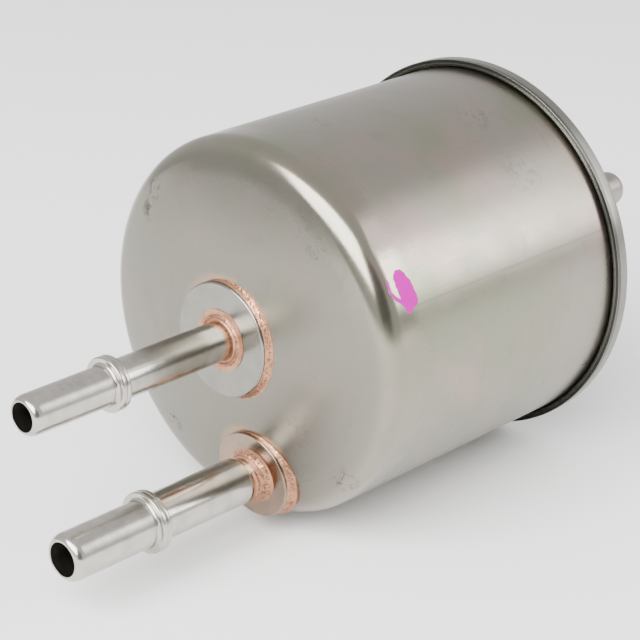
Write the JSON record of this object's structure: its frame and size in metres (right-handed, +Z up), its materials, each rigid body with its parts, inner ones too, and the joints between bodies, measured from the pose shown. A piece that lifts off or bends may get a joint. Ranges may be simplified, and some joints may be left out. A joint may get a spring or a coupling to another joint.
{
  "type": "fuel filter",
  "caption": "Round stainless steel in-line fuel filter with a domed end carrying two beaded spigots, a rolled-seam rear cover with an outlet spigot, and a pressure regulator inside.",
  "frame": {"origin": "on the can's axis, half way along its straight side, where the strap bracket holds it", "axes": "+Y along the can's axis, from the domed end with the two spigots to the seamed rear cover; +Z up, away from the inlet spigot, which sits low on the domed end"},
  "size_m": [0.0804, 0.1742, 0.0804],
  "materials": {
    "drawn_steel": "bare drawn stainless steel, softly mottled and scuffed",
    "cover_steel": "bare pressed stainless steel",
    "tube_steel": "turned stainless tube, fine turning marks",
    "boss_steel": "turned stainless steel, matt from the brazing furnace",
    "braze_copper": "rough copper braze",
    "sealing_compound": "dark sealing compound",
    "filter_paper": "pleated filter paper",
    "cap_steel": "plated sheet steel",
    "core_steel": "perforated plated sheet steel",
    "seal_rubber": "fuel-proof rubber",
    "spring_steel": "spring wire",
    "regulator_steel": "yellow-passivated sheet steel",
    "diaphragm_fabric": "rubber-coated fabric",
    "valve_brass": "turned brass",
    "ball_steel": "polished bearing ball",
    "screen_mesh": "woven plastic strainer"
  },
  "bodies": {
    "housing": {"housing_can": "drawn_steel", "rear_cover": "cover_steel", "seam_gasket": "sealing_compound", "return_spigot": "tube_steel", "inlet_spigot": "tube_steel", "outlet_spigot": "tube_steel", "return_boss": "boss_steel", "inlet_boss": "boss_steel", "outlet_boss": "boss_steel", "return_boss_braze": "braze_copper", "inlet_boss_braze": "braze_copper", "outlet_boss_braze": "braze_copper", "return_spigot_braze": "braze_copper", "inlet_spigot_braze": "braze_copper", "outlet_spigot_braze": "braze_copper", "pleated_element": "filter_paper", "element_front_cap": "cap_steel", "element_rear_cap": "cap_steel", "element_core": "core_steel", "element_spring": "spring_steel", "front_grommet": "seal_rubber", "rear_grommet": "seal_rubber", "regulator_cover": "regulator_steel", "regulator_body": "regulator_steel", "regulator_diaphragm": "diaphragm_fabric", "regulator_o_ring": "seal_rubber", "regulator_screen": "screen_mesh", "regulator_spring": "spring_steel", "valve_ball": "ball_steel", "ball_holder": "valve_brass"},
    "valve": {"valve_carrier": "valve_brass", "spring_seat": "cap_steel"}
  },
  "joints": [
    {"name": "valve_lift", "type": "slide", "parent": "housing", "child": "valve", "axis": [0, -1, 0], "range_m": [0, 0.0008], "stiffness_N_per_m": 12000, "springref_m": -0.0067, "deforming": ["regulator_spring", "regulator_diaphragm"]}
  ]
}
